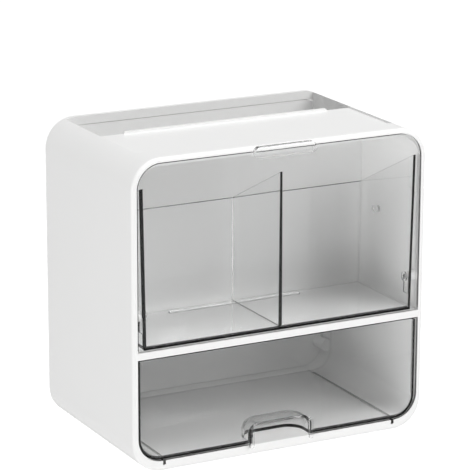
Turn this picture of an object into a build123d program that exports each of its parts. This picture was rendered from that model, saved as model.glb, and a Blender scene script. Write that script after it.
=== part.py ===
"""Wall-mounted dispenser box with a tilting bin over a drawer, in millimetres.

X runs left to right, Y from the front to the wall and Z up. The front faces -Y.
The wall is the plane Y = 0, and the origin is the middle of the wall pad.
Heights among the values below count from the underside of the body.
"""

import math
import os

from build123d import *

os.makedirs("parts", exist_ok=True)

# Body
width = 184.0
height = 178.0
depth = 115.0
corner_radius = 17.5
side_wall = 3.0
front_round = 2.2
rear_round = 0.8
rear_gap = 1.0
cover_seat = 5.0

# Front mouths, seen from the front
mouth_radius = 14.5
mouth_rim = 2.7
bay_floor = 6.0
shelf_under = 66.0
shelf_thick = 4.1
roof_thick = 5.0
rebate_depth = 2.4

# Top deck, its raised lip and the deep rear well
deck_sink = 2.2
deck_border = 15.0
deck_corner = 5.0
well_side_gap = 8.5
well_front = 47.0
well_wall = 2.0
lip_setback = 15.5
lip_height = 1.5

# Underside and runner grooves
underside_depth = 2.4
groove_inset = 15.8
groove_width = 1.8
groove_bottom = 3.6

# Clear mouldings
clear_wall = 1.5
panel_gap = 0.5
panel_inset = 0.2

# Tilting bin
bin_clear = 1.1
rest_gap = 0.1
bin_rear = 55.0
bin_headroom = 16.5
bin_slope = 26.0
bin_side_gap = 4.5
bin_flare = 1.7
pull_width = 38.0
pull_height = 6.2
pull_reach = 3.6

# Pivot
pivot_setback = 5.5
pivot_rise = 19.5
pin_radius = 1.5
pin_play = 0.03
boss_radius = 3.0
boss_height = 3.6
head_radius = 2.8
head_thick = 1.1
relief_width = 5.0
relief_length = 10.0
relief_depth = 0.8
tilt_angle = 45.0
stop_radius = 2.0
stop_height = 2.3
stop_lean = 7.0
stop_share = 0.7

# Divider
divider_low = 2.2
divider_high = 1.4

# Drawer
drawer_rear = 18.0
drawer_inset = 0.8
drawer_side_drop = 1.5
drawer_lift = 0.6
stop_setback = 20.0
stop_inset = 7.0
stop_rib = 2.0
stop_drop = 0.9
rib_width = 1.2
scoop_width = 40.0
scoop_depth = 17.9
scoop_height = 11.4
scoop_corner = 11.0
scoop_crown = 6.0
cheek_width = 2.6
cheek_low = 4.2
cheek_high = 16.5
cheek_reach = 1.4

# Back plate, screws, wall bracket and pad
cover_thick = 2.0
cover_gap = 0.3
screw_radius = 1.4
screw_length = 9.0
screw_head_radius = 2.7
screw_head_thick = 1.5
boss_length = 11.0
hook_spacing = 90.0
hook_drop = 58.0
hook_width = 16.0
hook_thick = 3.0
hook_rise = 6.0
hook_finger = 1.5
hook_play = 0.3
plate_width = 116.0
plate_height = 44.0
plate_corner = 6.0
plate_thick = 1.6
pad_thick = 0.8
pocket_wall = 1.2

# Sizes that follow from those above
shelf_top = shelf_under + shelf_thick
mouth_top = height - mouth_rim
ceiling = height - roof_thick
deck_level = height - deck_sink
deck_front = depth - deck_border
hook_level = height - hook_drop
mouth_half = width / 2 - side_wall
well_half_width = mouth_half - well_side_gap
lip_length = 2 * (well_half_width - lip_setback)
groove_offset = mouth_half - groove_inset
bin_half_low = mouth_half - bin_side_gap
bin_half_high = bin_half_low + bin_flare
bin_front_height = height - bin_headroom
boss_face = mouth_half - boss_height
stop_face = mouth_half - stop_height
pivot_y = depth - pivot_setback
pivot_z = shelf_top + pivot_rise
mouth_width = 2 * mouth_half
panel_width = mouth_width - 2 * panel_gap
panel_front = depth - panel_inset
panel_back = panel_front - clear_wall
panel_radius = mouth_radius - panel_gap
bin_floor = shelf_top + bin_clear
bin_depth = panel_back - bin_rear
bin_rear_height = bin_front_height - bin_depth * math.tan(math.radians(bin_slope))
draft = (bin_half_high - bin_half_low) / (bin_front_height - bin_floor)
bin_half_pivot = bin_half_low + (pivot_z - bin_floor) * draft
inner_half_pivot = bin_half_pivot - clear_wall
cover_back = cover_seat - cover_thick
hook_front = cover_seat + hook_play + hook_finger
pocket_low = hook_level - hook_thick - hook_rise - 2.5
pocket_high = hook_level + hook_rise + 1.5
pocket_back = hook_front + 0.5
upper_screw_x = (well_half_width + well_wall + mouth_half) / 2
upper_boss_radius = (mouth_half - well_half_width - well_wall) / 2 + 0.2
lower_boss_radius = screw_radius + 2.2
lower_screw_x = mouth_half - lower_boss_radius + 0.4
lower_screw_z = bay_floor + mouth_radius + 0.5
upper_screw_z = ceiling - mouth_radius - 0.5
screw_places = [
    (-upper_screw_x, upper_screw_z),
    (upper_screw_x, upper_screw_z),
    (-lower_screw_x, lower_screw_z),
    (lower_screw_x, lower_screw_z),
]
hook_places = [-hook_spacing / 2, hook_spacing / 2]
drawer_under = bay_floor + drawer_lift
drawer_half = panel_width / 2 - drawer_inset
drawer_side_top = shelf_under - drawer_side_drop
drawer_panel_top = shelf_under - panel_gap - 0.1
cheek_x = scoop_width / 2 - cheek_width / 2 + 0.3
stop_rib_y = depth - stop_inset
drawer_travel = stop_rib_y - drawer_rear - stop_setback

# The bin's stops lie on a line from the pivot that stands almost upright at the full tilt
stop_rest = math.radians(90 - tilt_angle - stop_lean)
slope_rise = math.tan(math.radians(bin_slope))
top_above_pivot = bin_front_height - (panel_back - pivot_y) * slope_rise - pivot_z
stop_behind = stop_share * top_above_pivot / (math.tan(stop_rest) + slope_rise)
stop_reach = stop_behind / math.cos(stop_rest)
stop_apart = 2 * math.asin((stop_radius + 0.05) / stop_reach)
stop_turn = stop_rest + math.radians(tilt_angle) + stop_apart
stop_shell_y = stop_reach * math.cos(stop_turn) - pivot_y
stop_shell_z = stop_reach * math.sin(stop_turn) + pivot_z
stop_bin_y = stop_behind - pivot_y
stop_bin_z = stop_reach * math.sin(stop_rest) + pivot_z

# Base planes, with their heights counted from the underside
wall = Plane(origin=(0, 0, -hook_level), x_dir=(1, 0, 0), z_dir=(0, -1, 0))
ground = Plane(origin=(0, 0, -hook_level))
flank = Plane(origin=(0, 0, -hook_level), x_dir=(0, 1, 0), z_dir=(1, 0, 0))

# White body
with BuildPart() as shell:
    with BuildSketch(wall.offset(rear_gap)):
        with Locations((0, height / 2)):
            RectangleRounded(width, height, corner_radius)
    extrude(amount=depth - rear_gap)
    fillet(shell.faces().sort_by(Axis.Y)[0].edges(), front_round)
    fillet(shell.faces().sort_by(Axis.Y)[-1].edges(), rear_round)

    # Lower bay, open to the front and to the back plate
    with BuildSketch(wall.offset(depth + 1)) as lower_mouth:
        with Locations((0, (bay_floor + shelf_under) / 2)):
            Rectangle(mouth_width, shelf_under - bay_floor)
        fillet(lower_mouth.vertices().group_by(Axis.Y)[0], mouth_radius)
    extrude(amount=-(depth + 1), mode=Mode.SUBTRACT)

    # Shallow seat for the upper front panel
    with BuildSketch(wall.offset(depth + 1)) as upper_mouth:
        with Locations((0, (shelf_top + mouth_top) / 2)):
            Rectangle(mouth_width, mouth_top - shelf_top)
        fillet(upper_mouth.vertices().group_by(Axis.Y)[-1], mouth_radius)
    extrude(amount=-(rebate_depth + 1), mode=Mode.SUBTRACT)

    # Upper bay, back to the wall of the well
    with BuildSketch(wall.offset(depth)) as upper_bay:
        with Locations((0, (shelf_top + ceiling) / 2)):
            Rectangle(mouth_width, ceiling - shelf_top)
        fillet(upper_bay.vertices().group_by(Axis.Y)[-1], mouth_radius)
    extrude(amount=-(depth - well_front - well_wall), mode=Mode.SUBTRACT)

    # Seat of the back plate
    with BuildSketch(wall) as rear_seat:
        with Locations((0, (bay_floor + ceiling) / 2)):
            RectangleRounded(mouth_width, ceiling - bay_floor, mouth_radius)
    extrude(amount=cover_seat, mode=Mode.SUBTRACT)

    # Hollows beside the well, open to the back
    with BuildSketch(wall) as side_hollow:
        with Locations((0, (shelf_top + ceiling) / 2)):
            Rectangle(mouth_width, ceiling - shelf_top)
        fillet(side_hollow.vertices().group_by(Axis.Y)[-1], mouth_radius)
        with Locations((0, height / 2)):
            Rectangle(2 * (well_half_width + well_wall), 2 * height, mode=Mode.SUBTRACT)
    extrude(amount=well_front, mode=Mode.SUBTRACT)

    # Top recess with rounded front corners
    with BuildSketch(ground.offset(deck_level)) as deck:
        with Locations((0, -(deck_front + cover_seat) / 2)):
            Rectangle(2 * well_half_width, deck_front - cover_seat)
        fillet(deck.vertices().group_by(Axis.Y)[0], deck_corner)
    extrude(amount=height, mode=Mode.SUBTRACT)

    # Well from the top, and its open back below the ceiling
    with BuildSketch(ground.offset(shelf_top)):
        with Locations((0, -(well_front + cover_seat) / 2)):
            Rectangle(2 * well_half_width, well_front - cover_seat)
    extrude(amount=height, mode=Mode.SUBTRACT)

    # Raised lip along the front edge of the well
    with BuildSketch(wall.offset(well_front)) as lip:
        with Locations((0, deck_level)):
            Rectangle(lip_length, 2 * lip_height)
        fillet(lip.vertices().group_by(Axis.Y)[-1], 0.9 * lip_height)
    extrude(amount=well_wall)

    # Relief in the underside
    with BuildSketch(ground):
        with Locations((0, -(depth + rear_gap) / 2)):
            RectangleRounded(width - 2 * corner_radius - 6, depth - rear_gap - 16, 6)
    extrude(amount=underside_depth, mode=Mode.SUBTRACT)

    # Runner grooves, open at the front
    with BuildSketch(wall.offset(depth + 1)):
        with Locations((-groove_offset, bay_floor), (groove_offset, bay_floor)):
            Rectangle(groove_width, 2 * (bay_floor - groove_bottom))
    extrude(amount=-(depth + 1 - drawer_rear + 4), mode=Mode.SUBTRACT)

    # Pivot bosses, tilt stops and drawer stops on both sides
    for side in (-1, 1):
        with BuildSketch(flank.offset(side * boss_face)):
            with Locations((-pivot_y, pivot_z)):
                Circle(boss_radius)
        extrude(amount=side * (mouth_half - boss_face + 0.5))
        with BuildSketch(flank.offset(side * stop_face)):
            with Locations((stop_shell_y, stop_shell_z)):
                Circle(stop_radius)
        extrude(amount=side * (mouth_half - stop_face + 0.5))
        with BuildSketch(flank.offset(side * boss_face)):
            with Locations((-pivot_y, pivot_z)):
                Circle(pin_radius + pin_play)
        extrude(amount=side * (mouth_half - boss_face - 0.2), mode=Mode.SUBTRACT)
        with Locations((side * (mouth_half - 3.5), -(stop_rib_y + stop_rib / 2), shelf_under - hook_level)):
            Box(8, stop_rib, 2 * stop_drop)

    # Bosses for the screws of the back plate, with their bores
    with BuildSketch(wall.offset(cover_seat)):
        with Locations(*screw_places[:2]):
            Circle(upper_boss_radius)
        with Locations(*screw_places[2:]):
            Circle(lower_boss_radius)
    extrude(amount=boss_length)
    with BuildSketch(wall.offset(cover_seat)):
        with Locations(*screw_places):
            Circle(screw_radius)
    extrude(amount=screw_length, mode=Mode.SUBTRACT)
shell.part.label = "shell"
export_step(shell.part, "parts/shell.step")

# Back plate with its two hanging pockets
with BuildPart() as rear_cover:
    with BuildSketch(wall.offset(cover_back)):
        with Locations((0, (bay_floor + ceiling) / 2)):
            RectangleRounded(
                mouth_width - 2 * cover_gap,
                ceiling - bay_floor - 2 * cover_gap,
                mouth_radius - cover_gap,
            )
    extrude(amount=cover_thick)
    with BuildSketch(wall.offset(cover_seat)):
        for place in hook_places:
            with Locations((place, (pocket_low + pocket_high) / 2)):
                Rectangle(hook_width + 2 + 2 * pocket_wall, pocket_high - pocket_low + 2 * pocket_wall)
    extrude(amount=pocket_back - cover_seat + pocket_wall)
    with BuildSketch(wall.offset(cover_seat)):
        for place in hook_places:
            with Locations((place, (pocket_low + pocket_high) / 2)):
                Rectangle(hook_width + 2, pocket_high - pocket_low)
    extrude(amount=pocket_back - cover_seat, mode=Mode.SUBTRACT)
    with BuildSketch(wall):
        for place in hook_places:
            with Locations((place, hook_level)):
                Rectangle(hook_width + 1, hook_thick + hook_rise + 1.5, align=(Align.CENTER, Align.MAX))
        with Locations(*screw_places):
            Circle(screw_radius + 0.2)
    extrude(amount=cover_seat, mode=Mode.SUBTRACT)
rear_cover.part.label = "rear_cover"
export_step(rear_cover.part, "parts/rear_cover.step")

# Four equal screws of the back plate
with BuildPart() as cover_screws:
    with BuildSketch(wall.offset(cover_back - screw_head_thick)):
        with Locations(*screw_places):
            Circle(screw_head_radius)
    extrude(amount=screw_head_thick)
    with BuildSketch(wall.offset(cover_back)):
        with Locations(*screw_places):
            Circle(screw_radius)
    extrude(amount=cover_thick + screw_length - 0.5)
    with BuildSketch(wall.offset(cover_back - screw_head_thick)):
        with Locations(*screw_places):
            Rectangle(1.2 * screw_head_radius, 0.25 * screw_head_radius)
            Rectangle(0.25 * screw_head_radius, 1.2 * screw_head_radius)
    extrude(amount=0.5 * screw_head_thick, mode=Mode.SUBTRACT)
cover_screws.part.label = "cover_screws"
export_step(cover_screws.part, "parts/cover_screws.step")

# Bracket that stays on the wall, and the pad that holds it
with BuildPart() as wall_bracket:
    with BuildSketch(wall.offset(pad_thick)):
        with Locations((0, hook_level)):
            RectangleRounded(plate_width, plate_height, plate_corner)
    extrude(amount=plate_thick)
    with BuildSketch(wall.offset(pad_thick)):
        for place in hook_places:
            with Locations((place, hook_level)):
                Rectangle(hook_width, hook_thick, align=(Align.CENTER, Align.MAX))
    extrude(amount=hook_front - pad_thick)
    with BuildSketch(wall.offset(hook_front - hook_finger)):
        for place in hook_places:
            with Locations((place, hook_level - hook_thick)):
                Rectangle(hook_width, hook_thick + hook_rise, align=(Align.CENTER, Align.MIN))
    extrude(amount=hook_finger)
wall_bracket.part.label = "wall_bracket"
export_step(wall_bracket.part, "parts/wall_bracket.step")

with BuildPart() as adhesive_pad:
    with BuildSketch(wall):
        with Locations((0, hook_level)):
            RectangleRounded(plate_width, plate_height, plate_corner)
    extrude(amount=pad_thick)
adhesive_pad.part.label = "adhesive_pad"
export_step(adhesive_pad.part, "parts/adhesive_pad.step")

# Clear upper unit that tilts out
with BuildPart() as tilt_bin:
    with BuildSketch(wall.offset(bin_rear)):
        Polygon(
            (-bin_half_low, bin_floor),
            (bin_half_low, bin_floor),
            (bin_half_high, bin_front_height),
            (-bin_half_high, bin_front_height),
            align=None,
        )
    extrude(amount=bin_depth)
    with BuildSketch(wall.offset(bin_rear + clear_wall)):
        Polygon(
            (-bin_half_low + clear_wall, bin_floor + clear_wall),
            (bin_half_low - clear_wall, bin_floor + clear_wall),
            (bin_half_high - clear_wall, bin_front_height + 1),
            (-bin_half_high + clear_wall, bin_front_height + 1),
            align=None,
        )
    extrude(amount=bin_depth - clear_wall, mode=Mode.SUBTRACT)

    # Sides and back follow one sloping top line
    with BuildSketch(flank.offset(-width / 2)):
        Polygon(
            (-panel_back, bin_front_height),
            (-bin_rear, bin_rear_height),
            (-bin_rear + 5, bin_rear_height),
            (-bin_rear + 5, height),
            (-panel_back, height),
            align=None,
        )
    extrude(amount=width, mode=Mode.SUBTRACT)

    # Front panel with round top corners
    with BuildSketch(wall.offset(panel_back)) as bin_panel:
        with Locations((0, (bin_floor + mouth_top - panel_gap) / 2)):
            Rectangle(panel_width, mouth_top - panel_gap - bin_floor)
        fillet(bin_panel.vertices().group_by(Axis.Y)[-1], panel_radius)
    extrude(amount=clear_wall)

    # Pull lip that laps over the white rim
    with BuildSketch(wall.offset(panel_front)):
        with Locations((0, height - pull_height / 2 - 1.5)):
            Rectangle(pull_width - 3, pull_height - 3)
    extrude(amount=0.6)
    with BuildSketch(wall.offset(depth + 0.3)):
        with Locations((0, height - pull_height / 2)):
            RectangleRounded(pull_width, pull_height, 0.45 * pull_height)
    extrude(amount=pull_reach - 0.3)

    # Low rib under the floor that rests on the shelf
    with BuildSketch(ground.offset(bin_floor + 0.2)):
        with Locations((0, -(bin_rear + 4))):
            Rectangle(bin_half_low, 2)
    extrude(amount=-(bin_clear - rest_gap + 0.2))

    # Reliefs below the pivots, pin holes and tilt stops in both sides
    for side in (-1, 1):
        with BuildSketch(flank.offset(side * (bin_half_pivot - relief_depth))):
            with Locations((-pivot_y, pivot_z - relief_length / 2)):
                Rectangle(relief_width, relief_length)
        extrude(amount=side * 2 * clear_wall, mode=Mode.SUBTRACT)
        with BuildSketch(flank.offset(side * (bin_half_pivot - 2 * clear_wall))):
            with Locations((-pivot_y, pivot_z)):
                Circle(pin_radius)
        extrude(amount=side * 3 * clear_wall, mode=Mode.SUBTRACT)
        with BuildSketch(flank.offset(side * (bin_half_low - 0.5))):
            with Locations((stop_bin_y, stop_bin_z)):
                Circle(stop_radius)
        extrude(amount=side * (mouth_half - 0.4 - bin_half_low + 0.5))
tilt_bin.part.label = "tilt_bin"
export_step(tilt_bin.part, "parts/tilt_bin.step")

# Divider plate, thicker at the foot
with BuildPart() as bin_divider:
    with BuildSketch(wall.offset(bin_rear + clear_wall + 0.15)):
        Polygon(
            (-divider_low / 2, bin_floor + clear_wall),
            (divider_low / 2, bin_floor + clear_wall),
            (divider_high / 2, bin_front_height),
            (-divider_high / 2, bin_front_height),
            align=None,
        )
    extrude(amount=bin_depth - clear_wall - 0.3)
    with BuildSketch(flank.offset(-5)):
        Polygon(
            (-panel_back, bin_front_height),
            (-bin_rear, bin_rear_height),
            (-bin_rear, height),
            (-panel_back, height),
            align=None,
        )
    extrude(amount=10, mode=Mode.SUBTRACT)
bin_divider.part.label = "bin_divider"
export_step(bin_divider.part, "parts/bin_divider.step")

# Pins on which the upper unit tilts
with BuildPart() as pivot_pin_left:
    with BuildSketch(flank.offset(-(inner_half_pivot - 0.15))):
        with Locations((-pivot_y, pivot_z)):
            Circle(head_radius)
    extrude(amount=head_thick)
    with BuildSketch(flank.offset(-(inner_half_pivot - 0.15))):
        with Locations((-pivot_y, pivot_z)):
            Circle(pin_radius)
    extrude(amount=-(mouth_half - 0.5 - inner_half_pivot))
pivot_pin_left.part.label = "pivot_pin_left"
export_step(pivot_pin_left.part, "parts/pivot_pin_left.step")

with BuildPart() as pivot_pin_right:
    with BuildSketch(flank.offset(inner_half_pivot - 0.15)):
        with Locations((-pivot_y, pivot_z)):
            Circle(head_radius)
    extrude(amount=-head_thick)
    with BuildSketch(flank.offset(inner_half_pivot - 0.15)):
        with Locations((-pivot_y, pivot_z)):
            Circle(pin_radius)
    extrude(amount=mouth_half - 0.5 - inner_half_pivot)
pivot_pin_right.part.label = "pivot_pin_right"
export_step(pivot_pin_right.part, "parts/pivot_pin_right.step")

# Outer and inner forms of the drawer's finger scoop
with BuildPart() as scoop_outside:
    with BuildSketch(ground.offset(drawer_under)):
        with Locations((0, -panel_front)):
            RectangleRounded(scoop_width, 2 * scoop_depth, scoop_corner)
    extrude(amount=scoop_height)
    fillet(scoop_outside.faces().sort_by(Axis.Z)[-1].edges(), scoop_crown)

with BuildPart() as scoop_inside:
    with BuildSketch(ground.offset(drawer_under)):
        with Locations((0, -panel_front)):
            RectangleRounded(
                scoop_width - 2 * clear_wall,
                2 * (scoop_depth - clear_wall),
                scoop_corner - clear_wall,
            )
    extrude(amount=scoop_height - clear_wall)
    fillet(scoop_inside.faces().sort_by(Axis.Z)[-1].edges(), scoop_crown - clear_wall)

# Clear drawer
with BuildPart() as drawer:
    with BuildSketch(wall.offset(drawer_rear)) as drawer_body:
        with Locations((0, (drawer_under + drawer_side_top) / 2)):
            Rectangle(2 * drawer_half, drawer_side_top - drawer_under)
        fillet(drawer_body.vertices().group_by(Axis.Y)[0], panel_radius - drawer_inset)
    extrude(amount=panel_back - drawer_rear)
    with BuildSketch(wall.offset(drawer_rear + clear_wall)) as drawer_room:
        with Locations((0, (drawer_under + clear_wall + shelf_top) / 2)):
            Rectangle(2 * (drawer_half - clear_wall), shelf_top - drawer_under - clear_wall)
        fillet(drawer_room.vertices().group_by(Axis.Y)[0], panel_radius - drawer_inset - clear_wall)
    extrude(amount=panel_back - drawer_rear - clear_wall, mode=Mode.SUBTRACT)

    # Front panel with round bottom corners
    with BuildSketch(wall.offset(panel_back)) as drawer_panel:
        with Locations((0, (drawer_under + drawer_panel_top) / 2)):
            Rectangle(panel_width, drawer_panel_top - drawer_under)
        fillet(drawer_panel.vertices().group_by(Axis.Y)[0], panel_radius)
    extrude(amount=clear_wall)

    # Rounded finger scoop, open to the front and below
    add(scoop_outside.part)
    with BuildSketch(wall.offset(panel_front)):
        with Locations((0, drawer_under)):
            Rectangle(2 * scoop_width, 4 * scoop_height)
    extrude(amount=2 * scoop_depth, mode=Mode.SUBTRACT)
    add(scoop_inside.part, mode=Mode.SUBTRACT)

    # Cheeks beside the scoop, lapping over the white rim
    with BuildSketch(wall.offset(panel_front)):
        for side in (-1, 1):
            with Locations((side * cheek_x, (drawer_under + cheek_high - 1) / 2)):
                Rectangle(cheek_width - 1, cheek_high - 1 - drawer_under)
    extrude(amount=0.6)
    with BuildSketch(wall.offset(depth + 0.3)):
        for side in (-1, 1):
            with Locations((side * cheek_x, (cheek_low + cheek_high) / 2)):
                RectangleRounded(cheek_width, cheek_high - cheek_low, 0.48 * cheek_width)
    extrude(amount=cheek_reach - 0.3)

    # Runner ribs below, and nubs that stop the drawer at the end of its travel
    with BuildSketch(ground.offset(drawer_under + 0.5)):
        for side in (-1, 1):
            with Locations((side * groove_offset, -(panel_front + drawer_rear + 4) / 2)):
                Rectangle(rib_width, panel_front - drawer_rear - 4)
    extrude(amount=-(drawer_under + 0.5 - groove_bottom - 0.05))
    with BuildSketch(ground.offset(drawer_side_top - 1)):
        for side in (-1, 1):
            with Locations((side * (drawer_half - clear_wall / 2), 1.6 - drawer_rear - stop_setback)):
                Rectangle(clear_wall, 3)
    extrude(amount=shelf_under - 0.4 - drawer_side_top + 1)
drawer.part.label = "drawer"
export_step(drawer.part, "parts/drawer.step")
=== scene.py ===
import math

import bpy
from mathutils import Matrix, Vector


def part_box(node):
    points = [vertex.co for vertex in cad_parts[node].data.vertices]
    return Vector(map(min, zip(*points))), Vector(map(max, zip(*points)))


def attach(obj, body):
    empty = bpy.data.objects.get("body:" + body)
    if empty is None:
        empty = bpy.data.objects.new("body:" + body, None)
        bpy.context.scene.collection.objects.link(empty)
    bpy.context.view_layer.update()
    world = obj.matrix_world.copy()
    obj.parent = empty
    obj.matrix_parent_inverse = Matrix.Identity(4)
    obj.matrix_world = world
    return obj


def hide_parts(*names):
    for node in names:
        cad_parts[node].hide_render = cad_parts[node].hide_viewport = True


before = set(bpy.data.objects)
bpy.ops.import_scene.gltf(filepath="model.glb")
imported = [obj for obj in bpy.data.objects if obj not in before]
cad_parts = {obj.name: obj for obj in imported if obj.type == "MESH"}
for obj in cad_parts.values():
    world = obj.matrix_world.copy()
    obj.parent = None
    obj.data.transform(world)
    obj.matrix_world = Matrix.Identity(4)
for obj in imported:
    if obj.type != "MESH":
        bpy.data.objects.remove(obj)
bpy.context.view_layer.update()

# Clear front panels, by depth in metres: their front face, the plane that parts them
# from the walls behind, where those walls begin, and how far from a panel a face still
# belongs to it
PANEL_FACE = -0.1148
PANEL_CUT = -0.11325
TRAY_END = PANEL_CUT + 0.00004
NEAR = 0.00005

# Front ends of the clear walls: how far back a wall flares, how deep its rounded end
# is, how near a corner is to the end, and where the faces that look ahead end a wall
FLARE_LENGTH = 0.0016
END_DEPTH = 0.0003
END_MARGIN = 0.0001
END_FACES = -0.1

# Finger scoop of the drawer, by height and by distance from the middle: its top, its
# two corners, the outer sides of its cheeks, and where the painted shade on the tray's
# end and its flare start beside it
SCOOP_TOP = -0.1
SCOOP_CORNERS = (0.015, 0.0225)
CHEEK_SIDES = (0.0185, 0.0208)
PAINTED_SHADE_START = 0.0218
FLARE_START = 0.0215

# Rounds of the edges
RIM_ROUND = 0.0003
WALL_ROUND = 0.0002

# Limits for merging the loose triangles of a moulding and for clearing up slivers
MERGED = 0.000002
FLAT = math.radians(0.4)
SLIVER = 0.000001

# How much of a face's normal, from 0 to 1, has to point a given way
SQUARE = 0.98
OBLIQUE = 0.95
AHEAD = 0.9
MOSTLY = 0.7
PARTLY = 0.3
SLIGHTLY = 0.15


# Materials

def new_material(name):
    """A material with its node tree and the shader that its surface shows."""
    material = bpy.data.materials.new(name)
    material.use_nodes = True
    tree = material.node_tree
    tree.nodes.clear()
    tree.nodes.new("ShaderNodeOutputMaterial").name = "output"
    shader = tree.nodes.new("ShaderNodeBsdfPrincipled")
    show_surface(tree, shader.outputs["BSDF"])
    return material, tree, shader


def show_surface(tree, surface):
    tree.links.new(surface, tree.nodes["output"].inputs["Surface"])


def mix_shaders(tree, mask, first, second):
    """The first shader where the mask is 0 and the second where it is 1."""
    mix = tree.nodes.new("ShaderNodeMixShader")
    tree.links.new(mask, mix.inputs["Fac"])
    tree.links.new(first, mix.inputs[1])
    tree.links.new(second, mix.inputs[2])
    return mix.outputs["Shader"]


def new_maths(tree, operation, *terms):
    """A math node whose terms are numbers or outputs of other nodes."""
    node = tree.nodes.new("ShaderNodeMath")
    node.operation = operation
    for socket, term in zip(node.inputs, terms):
        if isinstance(term, float):
            socket.default_value = term
        else:
            tree.links.new(term, socket)
    return node


def moulded_surface_group():
    """Faint unevenness of a moulded face: tone, roughness and a shallow height."""
    group = bpy.data.node_groups.new("moulded_surface", "ShaderNodeTree")
    for socket in ("Tone Dark", "Tone Light"):
        group.interface.new_socket(socket, in_out="INPUT", socket_type="NodeSocketColor")
    for socket in ("Roughness Low", "Roughness High", "Grain Scale"):
        group.interface.new_socket(socket, in_out="INPUT", socket_type="NodeSocketFloat")
    group.interface.new_socket("Color", in_out="OUTPUT", socket_type="NodeSocketColor")
    for socket in ("Roughness", "Height"):
        group.interface.new_socket(socket, in_out="OUTPUT", socket_type="NodeSocketFloat")
    nodes, links = group.nodes, group.links
    source = nodes.new("NodeGroupInput")
    result = nodes.new("NodeGroupOutput")
    place = nodes.new("ShaderNodeTexCoord")

    # Slow flow marks and a fine grain
    flow = nodes.new("ShaderNodeTexNoise")
    flow.inputs["Scale"].default_value = 26.0
    flow.inputs["Detail"].default_value = 3.0
    grain = nodes.new("ShaderNodeTexNoise")
    grain.inputs["Detail"].default_value = 2.0
    links.new(place.outputs["Object"], flow.inputs["Vector"])
    links.new(place.outputs["Object"], grain.inputs["Vector"])
    links.new(source.outputs["Grain Scale"], grain.inputs["Scale"])

    tone = nodes.new("ShaderNodeMix")
    tone.data_type = "RGBA"
    share, tone_low, tone_high = tone.inputs[0], tone.inputs[6], tone.inputs[7]
    links.new(flow.outputs["Fac"], share)
    links.new(source.outputs["Tone Dark"], tone_low)
    links.new(source.outputs["Tone Light"], tone_high)
    links.new(tone.outputs[2], result.inputs["Color"])

    rough = nodes.new("ShaderNodeMapRange")
    rough.inputs["From Min"].default_value = 0.3
    rough.inputs["From Max"].default_value = 0.7
    links.new(grain.outputs["Fac"], rough.inputs["Value"])
    links.new(source.outputs["Roughness Low"], rough.inputs["To Min"])
    links.new(source.outputs["Roughness High"], rough.inputs["To Max"])
    links.new(rough.outputs["Result"], result.inputs["Roughness"])

    grain_share = 0.4
    height = nodes.new("ShaderNodeMath")
    height.operation = "MULTIPLY_ADD"
    height.inputs[1].default_value = grain_share
    links.new(grain.outputs["Fac"], height.inputs[0])
    links.new(flow.outputs["Fac"], height.inputs[2])
    links.new(height.outputs["Value"], result.inputs["Height"])
    return group


moulded_surface = moulded_surface_group()


def place_moulding(tree, shader, tones, roughness, grain, depth):
    """Gives a shader the unevenness of a moulded face."""
    moulding = tree.nodes.new("ShaderNodeGroup")
    moulding.node_tree = moulded_surface
    moulding.inputs["Tone Dark"].default_value = (*tones[0], 1.0)
    moulding.inputs["Tone Light"].default_value = (*tones[1], 1.0)
    moulding.inputs["Roughness Low"].default_value = roughness[0]
    moulding.inputs["Roughness High"].default_value = roughness[1]
    moulding.inputs["Grain Scale"].default_value = grain
    bump = tree.nodes.new("ShaderNodeBump")
    bump.inputs["Strength"].default_value = 1.0
    bump.inputs["Distance"].default_value = depth
    tree.links.new(moulding.outputs["Color"], shader.inputs["Base Color"])
    tree.links.new(moulding.outputs["Roughness"], shader.inputs["Roughness"])
    tree.links.new(moulding.outputs["Height"], bump.inputs["Height"])
    tree.links.new(bump.outputs["Normal"], shader.inputs["Normal"])


def make_white_plastic():
    material, tree, shader = new_material("white_plastic")
    tones = (0.93, 0.93, 0.925), (0.95, 0.95, 0.945)
    place_moulding(tree, shader, tones, roughness=(0.34, 0.42), grain=900.0, depth=0.00002)
    shader.inputs["IOR"].default_value = 1.5
    return material


def new_clear_material(name, bend):
    """Clear moulded plastic that lets diffuse and shadow rays by."""
    material, tree, shader = new_material(name)
    tones = (0.975, 0.98, 0.98), (0.99, 0.99, 0.99)
    place_moulding(tree, shader, tones, roughness=(0.015, 0.04), grain=300.0, depth=0.000003)
    shader.inputs["IOR"].default_value = bend
    shader.inputs["Specular IOR Level"].default_value = 0.2
    shader.inputs["Transmission Weight"].default_value = 1.0
    passing = tree.nodes.new("ShaderNodeBsdfTransparent").outputs["BSDF"]
    rays = tree.nodes.new("ShaderNodeLightPath")
    scattered = mix_shaders(tree, rays.outputs["Is Diffuse Ray"], shader.outputs["BSDF"], passing)
    show_surface(tree, mix_shaders(tree, rays.outputs["Is Shadow Ray"], scattered, passing))
    return material, tree, shader


def make_clear_plastic():
    return new_clear_material("clear_plastic", bend=1.44)[0]


def make_clear_walls():
    """Clear walls that darken a little along a long way through them."""
    material, tree, _ = new_clear_material("clear_walls", bend=1.44)
    absorb = tree.nodes.new("ShaderNodeVolumeAbsorption")
    absorb.inputs["Color"].default_value = (0.5, 0.505, 0.505, 1.0)
    absorb.inputs["Density"].default_value = 8.0
    tree.links.new(absorb.outputs["Volume"], tree.nodes["output"].inputs["Volume"])
    return material


def make_clear_sheet():
    """The wide flat faces of a panel, which shine but don't bend what shows through."""
    material, _, shader = new_clear_material("clear_sheet", bend=1.0)
    shader.inputs["Coat Weight"].default_value = 1.0
    shader.inputs["Coat Roughness"].default_value = 0.03
    shader.inputs["Coat IOR"].default_value = 1.45
    return material


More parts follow.
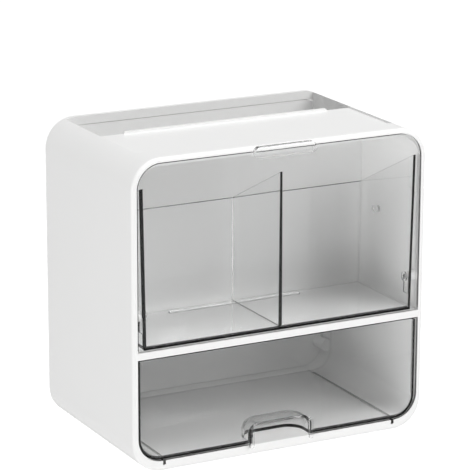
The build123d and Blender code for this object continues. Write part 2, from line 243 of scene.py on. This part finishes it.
def make_painted_edge_shade():
    """Near-black painted shade for the narrow faces of clear plastic, seen from outside, standing in for
    the darkness that refraction gives such edges; clear from within.
    """
    material, tree, shader = new_material("painted_edge_shade")
    # Near-black tones of the painted shade on clear edges
    tones = (0.002, 0.002, 0.002), (0.005, 0.005, 0.005)
    place_moulding(tree, shader, tones, roughness=(0.3, 0.4), grain=300.0, depth=0.000003)
    shader.inputs["Specular IOR Level"].default_value = 0.0
    passing = tree.nodes.new("ShaderNodeBsdfTransparent").outputs["BSDF"]
    side = tree.nodes.new("ShaderNodeNewGeometry")
    show_surface(tree, mix_shaders(tree, side.outputs["Backfacing"], shader.outputs["BSDF"], passing))
    return material


def make_screw_steel():
    material, tree, shader = new_material("screw_steel")
    tones = (0.68, 0.68, 0.67), (0.8, 0.8, 0.79)
    place_moulding(tree, shader, tones, roughness=(0.25, 0.4), grain=1500.0, depth=0.00002)
    shader.inputs["Metallic"].default_value = 0.75
    return material


def make_foam_tape():
    material, tree, shader = new_material("foam_tape")
    tones = (0.7, 0.71, 0.71), (0.8, 0.81, 0.81)
    place_moulding(tree, shader, tones, roughness=(0.8, 0.95), grain=1400.0, depth=0.0002)
    return material


white_plastic = make_white_plastic()
clear_plastic = make_clear_plastic()
clear_walls = make_clear_walls()
clear_sheet = make_clear_sheet()
painted_edge_shade = make_painted_edge_shade()
screw_steel = make_screw_steel()
foam_tape = make_foam_tape()

finishes = {
    "shell": white_plastic,
    "rear_cover": white_plastic,
    "wall_bracket": white_plastic,
    "cover_screws": screw_steel,
    "adhesive_pad": foam_tape,
    "tilt_bin": clear_plastic,
    "bin_divider": clear_plastic,
    "pivot_pin_left": clear_plastic,
    "pivot_pin_right": clear_plastic,
    "drawer": clear_plastic,
}
for node, material in finishes.items():
    piece = bpy.data.objects[node]
    piece.data.materials.clear()
    piece.data.materials.append(material)


# Shaping of the mouldings

def take_up(piece):
    """Selects one piece alone."""
    bpy.ops.object.select_all(action="DESELECT")
    piece.select_set(True)
    bpy.context.view_layer.objects.active = piece


def join_triangles(piece):
    """Merges doubled corners and joins flat triangles into whole faces."""
    take_up(piece)
    bpy.ops.object.mode_set(mode="EDIT")
    bpy.ops.mesh.select_mode(type="VERT")
    bpy.ops.mesh.select_all(action="SELECT")
    bpy.ops.mesh.remove_doubles(threshold=MERGED)
    bpy.ops.mesh.dissolve_limited(angle_limit=FLAT)
    bpy.ops.object.mode_set(mode="OBJECT")


def copy_moulding(node, name):
    """A copy of a moulding with its loose triangles joined into whole faces."""
    piece = bpy.data.objects.new(name, bpy.data.objects[node].data.copy())
    bpy.context.collection.objects.link(piece)
    join_triangles(piece)
    return piece


def cut_across(piece, depth, keep_front):
    """Keeps what lies in front of or behind an upright plane, with a closed cut."""
    reach = 0.3
    middle = depth + reach / 2 if keep_front else depth - reach / 2
    bpy.ops.object.select_all(action="DESELECT")
    bpy.ops.mesh.primitive_cube_add(size=1.0, location=(0.0, middle, 0.0))
    block = bpy.context.object
    block.scale = (2 * reach, reach, 2 * reach)
    bpy.ops.object.transform_apply(location=True, rotation=True, scale=True)
    take_up(piece)
    cut = piece.modifiers.new("cut", "BOOLEAN")
    cut.operation = "DIFFERENCE"
    cut.solver = "EXACT"
    cut.object = block
    bpy.ops.object.modifier_apply(modifier=cut.name)
    bpy.data.objects.remove(block, do_unlink=True)
    join_triangles(piece)


def round_edges(piece, edge):
    """Rounds the sharp edges and keeps the large faces even."""
    take_up(piece)
    rounding = piece.modifiers.new("edge_rounding", "BEVEL")
    rounding.limit_method = "ANGLE"
    rounding.angle_limit = math.radians(38)
    rounding.width = edge
    rounding.segments = 2
    rounding.profile = 0.5
    rounding.use_clamp_overlap = True
    bpy.ops.object.modifier_apply(modifier=rounding.name)
    bpy.ops.object.mode_set(mode="EDIT")
    bpy.ops.mesh.select_all(action="SELECT")
    bpy.ops.mesh.dissolve_degenerate(threshold=SLIVER)
    bpy.ops.object.mode_set(mode="OBJECT")
    bpy.ops.object.shade_smooth_by_angle(angle=math.radians(32))
    even = piece.modifiers.new("even_normals", "WEIGHTED_NORMAL")
    even.keep_sharp = True
    even.weight = 80
    bpy.ops.object.modifier_apply(modifier=even.name)


def part_front_ends(piece, side):
    """Parts the faces in which the walls end behind a panel on both sides of the scoop."""
    take_up(piece)
    for place in (-side, side):
        bpy.ops.object.mode_set(mode="EDIT")
        bpy.ops.mesh.select_mode(type="FACE")
        bpy.ops.mesh.select_all(action="DESELECT")
        bpy.ops.object.mode_set(mode="OBJECT")
        for face in piece.data.polygons:
            face.select = face.normal.y < -AHEAD and face.center.y < END_FACES
        bpy.ops.object.mode_set(mode="EDIT")
        bpy.ops.mesh.bisect(plane_co=(place, 0.0, 0.0), plane_no=(1.0, 0.0, 0.0))
        bpy.ops.object.mode_set(mode="OBJECT")


def spread_front_end(piece, wider, lower, side=0.0):
    """Flares the walls where they meet the panel, out and down towards its outline."""
    take_up(piece)
    top = max(corner.co.z for corner in piece.data.vertices)
    reach = max(corner.co.x for corner in piece.data.vertices)
    rise = top - min(corner.co.z for corner in piece.data.vertices)
    bpy.ops.object.mode_set(mode="EDIT")
    bpy.ops.mesh.select_mode(type="VERT")
    bpy.ops.mesh.select_all(action="SELECT")
    bpy.ops.mesh.bisect(plane_co=(0.0, TRAY_END + FLARE_LENGTH, 0.0), plane_no=(0.0, 1.0, 0.0))
    bpy.ops.mesh.select_all(action="DESELECT")
    bpy.ops.object.mode_set(mode="OBJECT")
    for corner in piece.data.vertices:
        corner.select = corner.co.y < TRAY_END + END_MARGIN and abs(corner.co.x) > side
    bpy.ops.object.mode_set(mode="EDIT")
    bpy.ops.transform.resize(
        value=((reach + wider) / reach, 1.0, (rise + lower) / rise),
        center_override=(0.0, TRAY_END, top),
    )
    bpy.ops.object.mode_set(mode="OBJECT")


# Looks of single faces: painted shade on the edges of clear plastic, and clear sheet faces

def on_panel(face):
    return PANEL_FACE - NEAR < face.center.y < PANEL_CUT + NEAR


def beside_scoop(face, limits):
    return limits[0] < abs(face.center.x) < limits[1] and face.center.z < SCOOP_TOP


def facing_out(face):
    """How far a face looks away from the middle plane: 1 straight out, -1 straight in."""
    return face.normal.x * math.copysign(1.0, face.center.x)


def paint_rim(piece):
    """Puts near-black painted shade on the narrow faces round a front panel, standing in for the
    darkness that refraction gives a clear edge.
    """
    piece.data.materials.append(painted_edge_shade)
    for face in piece.data.polygons:
        narrow = on_panel(face) and abs(face.normal.y) < OBLIQUE
        upright_at_scoop = beside_scoop(face, SCOOP_CORNERS) and abs(face.normal.z) < MOSTLY
        if narrow and not upright_at_scoop:
            face.material_index = 1


def paint_cheeks(piece):
    """Puts near-black painted shade on the outer sides of the two cheeks beside the scoop, standing in
    for the darkness of a clear edge.
    """
    for face in piece.data.polygons:
        if beside_scoop(face, CHEEK_SIDES) and facing_out(face) > MOSTLY:
            face.material_index = 1


def paint_sheet(piece):
    """Gives the wide flat faces of a front panel the clear look of a thin sheet."""
    piece.data.materials.append(clear_sheet)
    for face in piece.data.polygons:
        if on_panel(face) and abs(face.normal.y) > SQUARE:
            face.material_index = 2


def paint_front_ends(piece, end, side=0.0, bold=True):
    """Puts near-black painted shade on the rounded ends of the walls behind a panel, standing in for the
    darkness of a clear edge seen end on.

    A bold end takes in its inner round and the outer flank of the flare behind it.
    """
    piece.data.materials.append(painted_edge_shade)
    for face in piece.data.polygons:
        looks_ahead = face.center.y < end + END_DEPTH and face.normal.y < -SLIGHTLY
        dark = looks_ahead and face.normal.z <= PARTLY and abs(face.center.x) >= side
        if bold:
            on_flank = face.center.y < end + FLARE_LENGTH and facing_out(face) > MOSTLY
            dark = dark or on_flank
        else:
            dark = dark and facing_out(face) >= -PARTLY
        if dark:
            face.material_index = 1


# Pieces

def finish_piece(piece, body, slot, *nodes):
    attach(piece, body)
    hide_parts(*nodes)


def make_white_moulding(node, name):
    moulding = copy_moulding(node, name)
    round_edges(moulding, RIM_ROUND)
    finish_piece(moulding, "housing", "white_plastic", node)


def make_front(node, name, body):
    """The front panel of a clear moulding, with what stands in front of it."""
    front = copy_moulding(node, name)
    cut_across(front, PANEL_CUT, keep_front=True)
    round_edges(front, RIM_ROUND)
    paint_rim(front)
    paint_cheeks(front)
    paint_sheet(front)
    finish_piece(front, body, "clear_plastic", node)


def start_tray(node, name):
    """The walls and floor of a clear moulding behind its front panel."""
    tray = copy_moulding(node, name)
    cut_across(tray, TRAY_END, keep_front=False)
    tray.data.materials[0] = clear_walls
    return tray


def make_bin_tray():
    tray = start_tray("tilt_bin", "bin_tray")
    spread_front_end(tray, wider=0.0, lower=0.0005)
    round_edges(tray, WALL_ROUND)
    paint_front_ends(tray, TRAY_END)
    finish_piece(tray, "bin", "clear_plastic", "tilt_bin")


def make_drawer_tray():
    tray = start_tray("drawer", "drawer_tray")
    part_front_ends(tray, PAINTED_SHADE_START)
    spread_front_end(tray, wider=0.0006, lower=0.0004, side=FLARE_START)
    round_edges(tray, WALL_ROUND)
    paint_front_ends(tray, TRAY_END, PAINTED_SHADE_START, bold=False)
    finish_piece(tray, "drawer_unit", "clear_plastic", "drawer")


def make_divider_plate():
    plate = copy_moulding("bin_divider", "divider_plate")
    plate.data.materials[0] = clear_walls
    round_edges(plate, WALL_ROUND)
    paint_front_ends(plate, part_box("bin_divider")[0][1])
    finish_piece(plate, "bin", "clear_plastic", "bin_divider")


make_white_moulding("shell", "white_body")
make_white_moulding("rear_cover", "white_back_plate")
make_front("tilt_bin", "bin_front", "bin")
make_bin_tray()
make_front("drawer", "drawer_front", "drawer_unit")
make_drawer_tray()
make_divider_plate()


# Floor, surroundings, lamps and camera

def make_floor():
    """A pale floor that glows white where it is looked at and greys in reflections."""
    width = 12.0
    level = -0.6
    glow = 0.2
    glow_when_seen = 0.55
    bpy.ops.object.select_all(action="DESELECT")
    bpy.ops.mesh.primitive_plane_add(size=width, location=(0.0, 0.0, level))
    floor = bpy.context.object
    floor.name = "studio_floor"
    pale, tree, shader = new_material("pale_floor")
    shader.inputs["Base Color"].default_value = (0.95, 0.95, 0.95, 1.0)
    shader.inputs["Roughness"].default_value = 0.9
    shader.inputs["Specular IOR Level"].default_value = 0.0
    shader.inputs["Emission Color"].default_value = (1.0, 1.0, 1.0, 1.0)
    rays = tree.nodes.new("ShaderNodeLightPath").outputs
    lit = new_maths(tree, "MULTIPLY_ADD", rays["Is Camera Ray"], glow_when_seen, glow)
    tree.links.new(lit.outputs["Value"], shader.inputs["Emission Strength"])
    shade = tree.nodes.new("ShaderNodeBsdfDiffuse")
    shade.inputs["Color"].default_value = (0.18, 0.18, 0.18, 1.0)
    mirrored = new_maths(tree, "SUBTRACT", rays["Is Glossy Ray"], rays["Is Transmission Ray"])
    mirrored.use_clamp = True
    pale_or_grey = mix_shaders(
        tree, mirrored.outputs["Value"], shader.outputs["BSDF"], shade.outputs["BSDF"]
    )
    show_surface(tree, pale_or_grey)
    floor.data.materials.append(pale)


def make_surroundings():
    """White surroundings: dim as a light, dimmer in reflections, bright when seen."""
    glow = 0.3
    loss_in_reflections = -0.12
    glow_through_clear = 0.68
    world = bpy.data.worlds.new("studio_world")
    bpy.context.scene.world = world
    world.use_nodes = True
    tree = world.node_tree
    background = tree.nodes["Background"]
    background.inputs["Color"].default_value = (1.0, 1.0, 1.0, 1.0)
    rays = tree.nodes.new("ShaderNodeLightPath").outputs
    dimmed = new_maths(tree, "MULTIPLY_ADD", rays["Is Glossy Ray"], loss_in_reflections, glow)
    seen = new_maths(
        tree, "MULTIPLY_ADD", rays["Is Transmission Ray"], glow_through_clear, rays["Is Camera Ray"]
    )
    bright = new_maths(tree, "MAXIMUM", dimmed.outputs["Value"], seen.outputs["Value"])
    tree.links.new(bright.outputs["Value"], background.inputs["Strength"])


def soft_light(name, place, aim, size, power):
    lamp = bpy.data.lights.new(name, "AREA")
    lamp.shape = "RECTANGLE"
    lamp.size, lamp.size_y = size
    lamp.energy = power
    holder = bpy.data.objects.new(name, lamp)
    bpy.context.collection.objects.link(holder)
    holder.location = place
    holder.rotation_euler = (Vector(aim) - Vector(place)).to_track_quat("-Z", "Y").to_euler()


def place_camera():
    """The photograph's view: from the left and a little above."""
    place = (-0.6811, -1.3483, 0.3959)
    yaw = math.radians(27.81)
    pitch = math.radians(15.53)
    roll = math.radians(0.18)
    level = math.cos(pitch)
    ahead = Vector((math.sin(yaw) * level, math.cos(yaw) * level, -math.sin(pitch)))
    level_right = Vector((math.cos(yaw), -math.sin(yaw), 0.0))
    level_up = level_right.cross(ahead)
    right = math.cos(roll) * level_right + math.sin(roll) * level_up
    up = -math.sin(roll) * level_right + math.cos(roll) * level_up
    turn = Matrix((right, up, -ahead)).transposed().to_4x4()
    lens = bpy.data.cameras.new("photo_camera")
    lens.sensor_fit = "HORIZONTAL"
    lens.sensor_width = 36.0
    lens.lens = 202.97
    lens.shift_x = 0.0030
    lens.shift_y = 0.0047
    lens.clip_start = 0.01
    camera = bpy.data.objects.new("photo_camera", lens)
    bpy.context.collection.objects.link(camera)
    camera.matrix_world = Matrix.Translation(place) @ turn
    bpy.context.scene.camera = camera


make_floor()
make_surroundings()
soft_light("key_light", place=(-2.0, -0.8, -0.25), aim=(0.0, -0.06, -0.05), size=(1.4, 0.55), power=15.0)
soft_light("side_fill", place=(1.2, -1.45, 1.2), aim=(0.0, -0.06, -0.03), size=(1.2, 1.2), power=21.0)
soft_light("top_light", place=(0.05, -0.3, 1.8), aim=(0.0, -0.06, 0.0), size=(1.4, 1.4), power=20.0)
place_camera()
bpy.context.scene.view_settings.view_transform = "Standard"
